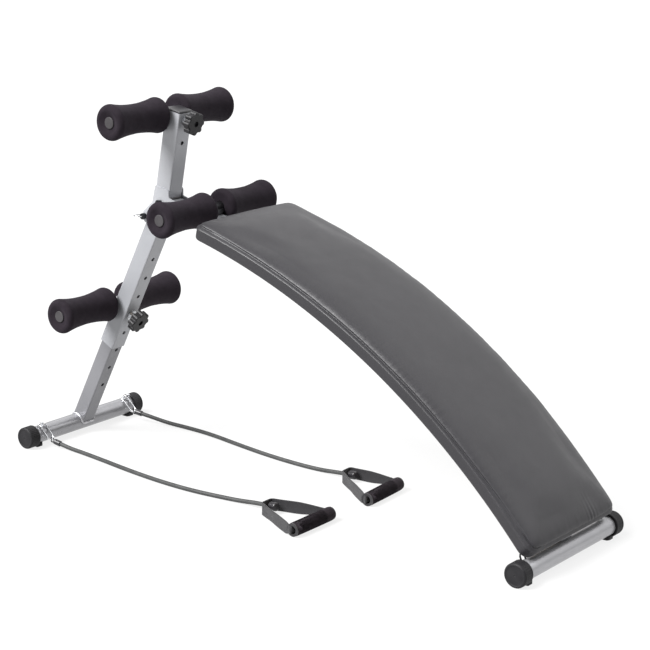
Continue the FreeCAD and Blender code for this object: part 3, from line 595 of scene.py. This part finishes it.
def make_pad():
    pad, flat = build_pad()
    rest = [v.co.copy() for v in pad.data.vertices]
    moved = swell(pad)
    steps = evened(pad, [q - p for p, q in zip(rest, moved)], EVENING_ROUNDS)
    for vertex, p, step in zip(pad.data.vertices, rest, steps):
        if step.length > STILL:
            step = step.normalized() * SWELL_CAP * math.tanh(step.length / SWELL_CAP)
        vertex.co = p + step
    subdivision = pad.modifiers.new("fine", "SUBSURF")
    subdivision.levels = subdivision.render_levels = 1
    applied(pad)
    sew(pad)
    stands_for(pad, "pad_cushion")


# ---------------------------------------------------------------- rollers and grips
SKIN_LEAST_R = 0.0125  # nearer to the axis than this is the bore, which stays true


def foam_skin(amount):
    """Small dents and swells that break up a turned piece's outline."""
    def shape(y, r, a):
        if r < SKIN_LEAST_R:
            return y, r
        spot = Vector((r * math.cos(a) * 40, y * 40, r * math.sin(a) * 40))
        fine = Vector((r * math.cos(a) * 170, y * 170, r * math.sin(a) * 170))
        return y, r + amount * noise.noise(spot) + 0.35 * amount * noise.noise(fine)
    return shape


def roller_profile(half):
    """(y, r) from the bore's one end, over the waisted outside, to its other end."""
    reach, nose_r = half - ROLLER_NOSE, ROLLER_R - ROLLER_NOSE
    rise = WAIST_R - nose_r
    hollow = (reach ** 2 + rise ** 2 - ROLLER_NOSE ** 2) / (2 * (ROLLER_NOSE - rise))
    join = math.atan2(rise + hollow, reach)
    nose = [(reach + ROLLER_NOSE * math.cos(a), nose_r + ROLLER_NOSE * math.sin(a))
            for a in ((math.pi - join) * k / 14 for k in range(15))]
    join_y = nose[-1][0]
    waist = []
    for k in range(1, 28):
        y = join_y * (1 - 2 * k / 28)
        waist.append((y, WAIST_R + hollow - math.sqrt(hollow ** 2 - y ** 2)))
    bore, floor = AXLE_R + 0.00005, half - DISH
    plain = between((-half + 0.0004, bore), (-half, nose_r), 6) + [(-y, r) for y, r in nose]
    dished = [(half, nose_r), (half, DISH_R + 0.0012), (half - 0.0005, DISH_R)]
    dished += between((half - 0.0005, DISH_R), (floor, DISH_FLOOR_R), 5)[1:]
    dished += [(floor, DISH_FLOOR_R), (floor, bore)]
    return (plain + waist[::-1] + nose[:0:-1] + dished
            + between((floor, bore), (-half + 0.0004, bore), 12)[1:])


def make_rollers():
    for level in ("upper", "middle", "lower"):
        for side, sign in SIDES:
            node = f"{level}_roller_{side}"
            low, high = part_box(node)
            centre = Vector((JOINT_AT[f"{node}_spin"].x, (low.y + high.y) / 2,
                             JOINT_AT[f"{node}_spin"].z))
            profile = [(sign * y, r) for y, r in roller_profile((high.y - low.y) / 2)]
            roller = turned(f"{level}_foam_{side}", profile, centre, MATERIALS["roller_foam"],
                            128, foam_skin(0.00032))
            stands_for(roller, node)


def grip_place(side):
    (x, y), turn, _ = GRIPS[side]
    return Matrix.Translation((x, y, 0)) @ Matrix.Rotation(math.radians(turn), 4, "Z")


def make_grips():
    half, soft = GRIP_LENGTH / 2 - 0.0026, 0.0025
    for side, _ in SIDES:
        rim = [(half - soft + soft * math.sin(a), GRIP_R - soft + soft * math.cos(a))
               for a in (math.pi / 2 * k / 6 for k in range(7))]
        barrel = [(y, GRIP_R + 0.0003 * (1 - (y / half) ** 2))
                  for y, _ in between((-half + soft, 0), (half - soft, 0), 40)]
        outer = barrel + rim + [(half - 0.0002, GRIP_CORE_R + 0.0001)]
        first = [(-y, r) for y, r in outer[:-len(barrel) - 1:-1]]
        profile = first + outer + between((half - 0.0002, GRIP_CORE_R + 0.0001),
                                          (-half + 0.0002, GRIP_CORE_R + 0.0001), 12)[1:]
        profile = [p for i, p in enumerate(profile) if not i or p != profile[i - 1]]
        grip = turned(f"grip_cover_{side}", profile, Vector((0, 0, GRIP_Z)),
                      MATERIALS["grip_foam"], 72, foam_skin(0.00022))
        grip.data.transform(grip_place(side))
        stands_for(grip, f"grip_{side}")


# ---------------------------------------------------------------- straps
def smoothed(points, rounds):
    """Corner cutting on an open line; its two ends stay."""
    for _ in range(rounds):
        cut = [points[0]]
        for a, b in zip(points, points[1:]):
            cut += [a.lerp(b, 0.25), a.lerp(b, 0.75)]
        points = cut + [points[-1]]
    return points


def evenly(points, step):
    lengths = [0.0]
    for a, b in zip(points, points[1:]):
        lengths.append(lengths[-1] + (b - a).length)
    count = max(2, round(lengths[-1] / step))
    made, k = [], 0
    for i in range(count + 1):
        at = lengths[-1] * i / count
        while k < len(lengths) - 2 and lengths[k + 1] < at:
            k += 1
        share = (at - lengths[k]) / max(lengths[k + 1] - lengths[k], 1e-9)
        made.append(points[k].lerp(points[k + 1], min(share, 1.0)))
    return made, lengths[-1]


# Half the folded webbing's width in the grip's ends, the run that stays folded, and how far it
# takes to open at the first and last end.
FOLDED_HALF, FOLDED_RUN, OPENING_RUNS = 0.0062, 0.010, (0.080, 0.030)
# The strap's section as (share of the half width, share of the half thickness).
STRAP_SECTION = [(-1.0, -0.25), (-0.985, -0.95), (-0.90, -1.0), (-0.5, -0.84), (0.0, -0.8),
                 (0.5, -0.84), (0.90, -1.0), (0.985, -0.95), (1.0, -0.25), (1.0, 0.25),
                 (0.985, 0.95), (0.90, 1.0), (0.5, 0.84), (0.0, 0.8), (-0.5, 0.84), (-0.90, 1.0),
                 (-0.985, 0.95), (-1.0, 0.25)]


def strap_line(side):
    """Plan line of the webbing, from inside one end of the grip round the nose to the other."""
    _, _, (nose_x, nose_y) = GRIPS[side]
    half, nose, inside = GRIP_LENGTH / 2 + 0.0045, STRAP_NOSE / 2, GRIP_LENGTH / 2 - 0.012
    corner, square = 0.014, Vector((0, 0.011))
    far, near = Vector((nose_x, nose_y + nose)), Vector((nose_x, nose_y - nose))
    top, low = Vector((0, half)), Vector((0, -half))
    to_far, to_near = (far - top).normalized(), (near - low).normalized()
    line = [Vector((0, inside)), Vector((0, half - 0.006)), top, top + to_far * corner,
            far - to_far * corner, far, far - square, near + square, near,
            near - to_near * corner, low + to_near * corner, low, Vector((0, -half + 0.006)),
            Vector((0, -inside))]
    return evenly(smoothed(line, 3), 0.0022)


def make_straps():
    for side, _ in SIDES:
        line, length = strap_line(side)
        points, uvs = [], []
        middle, step = STRAP_LOW + STRAP_WIDTH / 2, length / (len(line) - 1)
        for i, here in enumerate(line):
            before, after = line[max(i - 1, 0)], line[min(i + 1, len(line) - 1)]
            way = (after - before).normalized()
            out = Vector((way.y, -way.x, 0))
            ends = zip((i * step, (len(line) - 1 - i) * step), OPENING_RUNS)
            open_share = min(min(max((run - FOLDED_RUN) / taper, 0.0), 1.0) for run, taper in ends)
            open_share = open_share * open_share * (3 - 2 * open_share)
            half_width = FOLDED_HALF + (STRAP_WIDTH / 2 - FOLDED_HALF) * open_share
            centre_z = GRIP_Z + (middle - GRIP_Z) * open_share
            lean = 0.0016 * noise.noise(Vector((i * 0.045, 5.1, 0.0))) * open_share
            for width, thick in STRAP_SECTION:
                offset = thick * STRAP_THICK / 2 + lean * width
                offset += 0.0012 * (1 - open_share) * math.cos(width * math.pi)
                points.append(Vector((here.x, here.y, centre_z + width * half_width))
                              + out * offset)
                uvs.append((i * step, width * STRAP_WIDTH / 2))
        rows, columns = len(line), len(STRAP_SECTION)
        faces = lattice(rows, columns)
        faces += [tuple(range(columns))[::-1], tuple(range((rows - 1) * columns, rows * columns))]
        strap = make(f"webbing_{side}", points, faces, MATERIALS["strap_web"])
        layer = strap.data.uv_layers.new(name="weave")
        for loop in strap.data.loops:
            layer.data[loop.index].uv = uvs[loop.vertex_index]
        outward(strap)
        strap.data.transform(grip_place(side))
        stands_for(strap, f"strap_{side}")


# ---------------------------------------------------------------- bands
def make_bands():
    for side, _ in SIDES:
        route = BAND_ROUTES[side]
        curve = bpy.data.curves.new(f"tube_{side}", "CURVE")
        curve.dimensions = "3D"
        curve.bevel_depth = BAND_R
        curve.bevel_resolution = 8
        curve.resolution_u = 24
        curve.use_fill_caps = True
        spline = curve.splines.new("NURBS")
        spline.points.add(len(route) - 1)
        for point, place in zip(spline.points, route):
            point.co = (*place, 1.0)
        spline.order_u = 3
        spline.use_endpoint_u = True
        spline.use_smooth = True
        curve.materials.append(MATERIALS["band_rubber"])
        tube = bpy.data.objects.new(f"tube_{side}", curve)
        bpy.context.scene.collection.objects.link(tube)
        stands_for(tube, f"band_{side}")


# ---------------------------------------------------------------- caps and welds
CAP_MOUTH, CAP_END, CAP_FLOOR, CAP_R = 0.150, 0.176, 0.172, 0.024
FLUTES, FLUTE_DEPTH, FLUTED_RUN, FLUTED_R = 36, 0.0007, (0.1535, 0.1715), 0.0225


def cap_shape(y, r, a):
    """Flutes round the barrel."""
    inside = FLUTED_RUN[0] < abs(y) < FLUTED_RUN[1] and r > FLUTED_R
    depth = FLUTE_DEPTH * (0.5 - 0.5 * math.cos(FLUTES * a)) if inside else 0.0
    return y, r - depth


def tongue_rings(x, sign):
    """Sections of the flat tongue that runs inward from a cap, under the bar."""
    rings = []
    for y, half in ((0.1342, 0.0098), (0.1345, 0.0112), (0.1354, 0.0126), (0.1368, 0.0136),
                    (0.1385, 0.0140), (0.1504, 0.0140)):
        across = [-half + 2 * half * k / 12 for k in range(13)]
        ring = [(u, 0.0) for u in across[1:-1]] + [(half, 0.0007)]
        for u in across[::-1]:
            ring.append((u, min(FOOT_Z - math.sqrt(FOOT_R ** 2 - u ** 2) - 0.00005, 0.0108)))
        ring.append((-half, 0.0007))
        rings.append([Vector((x + u, sign * y, z)) for u, z in ring])
    return rings


def joined(first, second):
    work = bmesh.new()
    work.from_mesh(first.data)
    work.from_mesh(second.data)
    work.to_mesh(first.data)
    work.free()
    bpy.data.objects.remove(second)
    for polygon in first.data.polygons:
        polygon.use_smooth = True
    return first


def make_caps():
    mouth, end, floor, bore = CAP_MOUTH, CAP_END, CAP_FLOOR, FOOT_R + 0.0001
    outline = [(mouth, bore), (mouth, 0.0230), (mouth + 0.0003, 0.0237), (mouth + 0.0010, CAP_R)]
    outline += between((mouth + 0.0018, CAP_R), (0.171, CAP_R), 12)
    outline += [(0.171, CAP_R), (0.1718, CAP_R), (0.1732, 0.0238), (0.1746, 0.0231),
                (0.1756, 0.0220), (end, 0.0206), (end, 0.0194), (end - 0.0005, 0.0188),
                (end - 0.0008, 0.0178)]
    outline += [(end - 0.0008 + 0.0006 * (1 - (r / 0.0178) ** 2), r)
                for r in (0.015, 0.012, 0.009, 0.006, 0.003, 0.0006)]
    outline += [(floor, 0.0006), (floor, 0.006), (floor, 0.012), (floor, bore)]
    for bar, x in (("front", FOOT_X), ("rear", -FOOT_X)):
        for side, sign in SIDES:
            profile = [(sign * y, r) for y, r in outline]
            cap = turned(f"{bar}_boot_{side}", profile, Vector((x, 0, FOOT_Z)),
                         MATERIALS["cap_rubber"], 144, cap_shape)
            rings = tongue_rings(x, sign)
            count = len(rings[0])
            faces = lattice(len(rings), count) + [
                tuple(range(count)), tuple(range((len(rings) - 1) * count, len(rings) * count))]
            tongue = outward(make("tongue", [p for ring in rings for p in ring], faces,
                                  MATERIALS["cap_rubber"]))
            cap = joined(cap, tongue)
            for vertex in cap.data.vertices:
                vertex.co.z = max(vertex.co.z, 0.0)
            stands_for(cap, f"{bar}_cap_{side}")


# The foot weld: how far its middle stands off both tubes, its radius, ripples and their pitch,
# and the points along a side and round a corner of the post.
BEAD_OUT, BEAD_R, BEAD_RIPPLE, BEAD_PITCH = 0.0010, 0.0023, 0.24, 0.0034
BEAD_SIDE, BEAD_CORNER = 26, 6


def make_foot_weld():
    """A rippled bead along the line where the square post meets the round foot bar."""
    half, reach = INNER / 2 - TUBE_CORNER, TUBE_CORNER + BEAD_OUT
    plan = []
    for quarter in range(4):
        a = math.pi / 2 * quarter
        corner = Matrix.Rotation(a, 2) @ Vector((half, half))
        previous = Matrix.Rotation(a, 2) @ Vector((half, -half))
        face = Matrix.Rotation(a, 2) @ Vector((1, 0))
        plan += [previous.lerp(corner, k / BEAD_SIDE) + face * reach for k in range(BEAD_SIDE)]
        for k in range(BEAD_CORNER):
            b = a + math.pi / 2 * k / BEAD_CORNER
            plan.append(corner + Vector((math.cos(b), math.sin(b))) * reach)
    line = []
    for x, y in plan:
        z = math.sqrt(max((FOOT_R + BEAD_OUT) ** 2 - x ** 2, 0.0))
        line.append(LEG @ Vector((x, y, z)))
    bead = tube_along("post_weld_bead", line, BEAD_R, WELD, 12, BEAD_RIPPLE, BEAD_PITCH,
                      closed=True)
    return stands_for(bead, "foot_weld")


def make_joint_strip():
    """A dark strip laid along the line where the post's front face comes down on the rail."""
    front, low, high = TUBE / 2, 0.0, 0.060
    centre = Vector((ARC_X, 0, ARC_Z))
    for _ in range(30):
        middle = (low + high) / 2
        below = (POST @ Vector((front, 0, middle)) - centre).length < RAIL_TOP_R
        low, high = (middle, high) if below else (low, middle)
    line = [POST @ Vector((front + 0.0002, y / 1000, high + 0.0022)) for y in range(-20, 21, 2)]
    strip = tube_along("post_joint_strip", line, 0.0026, MATERIALS["cap_plastic"], 12)
    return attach(strip, "main_frame")


# ---------------------------------------------------------------- stage, light and camera
def stage():
    """A pale floor that glows a little, so that shadows on it stay faint."""
    size = 40.0
    white = Shader("floor_white", Base_Color=(0.12, 0.12, 0.12, 1.0), Roughness=0.9,
                   Specular_IOR_Level=0.0, Emission_Color=(1.0, 1.0, 1.0, 1.0),
                   Emission_Strength=0.80)
    floor = make("floor", [(-size, -size, -0.0004), (size, -size, -0.0004),
                           (size, size, -0.0004), (-size, size, -0.0004)], [(0, 1, 2, 3)],
                 white.material, False)
    world = bpy.data.worlds.new("studio")
    bpy.context.scene.world = world
    world.use_nodes = True
    world.node_tree.nodes["Background"].inputs["Color"].default_value = (1.0, 1.0, 1.0, 1.0)
    world.node_tree.nodes["Background"].inputs["Strength"].default_value = 0.22


def sun(name, towards, strength, softness):
    """A distant light that shines from this side, as wide as this many degrees."""
    data = bpy.data.lights.new(name, "SUN")
    data.energy, data.angle = strength, math.radians(softness)
    light = bpy.data.objects.new(name, data)
    light.rotation_euler = (-Vector(towards)).to_track_quat("-Z", "Y").to_euler()
    bpy.context.scene.collection.objects.link(light)


def lights():
    sun("key", (-0.28, -0.62, 0.73), 8.2, 35.0)
    sun("back", (0.0, 0.80, 0.60), 1.7, 90.0)
    sun("fill", (0.55, 0.25, 0.80), 0.95, 60.0)


def camera():
    data = bpy.data.cameras.new("camera")
    data.lens, data.sensor_width = 105.64, 36.0
    data.clip_end = 120.0
    made = bpy.data.objects.new("camera", data)
    made.location = (2.3516, -2.8929, 1.3335)
    made.rotation_euler = (math.pi / 2 - 0.258, 0.0, 0.669)
    bpy.context.scene.collection.objects.link(made)
    bpy.context.scene.camera = made


camera()
finish_cad_nodes()
make_bands()
make_straps()
make_grips()
make_rollers()
make_caps()
make_foot_weld()
make_joint_strip()
make_pad()
stage()
lights()
bpy.context.scene.view_settings.view_transform = "Standard"
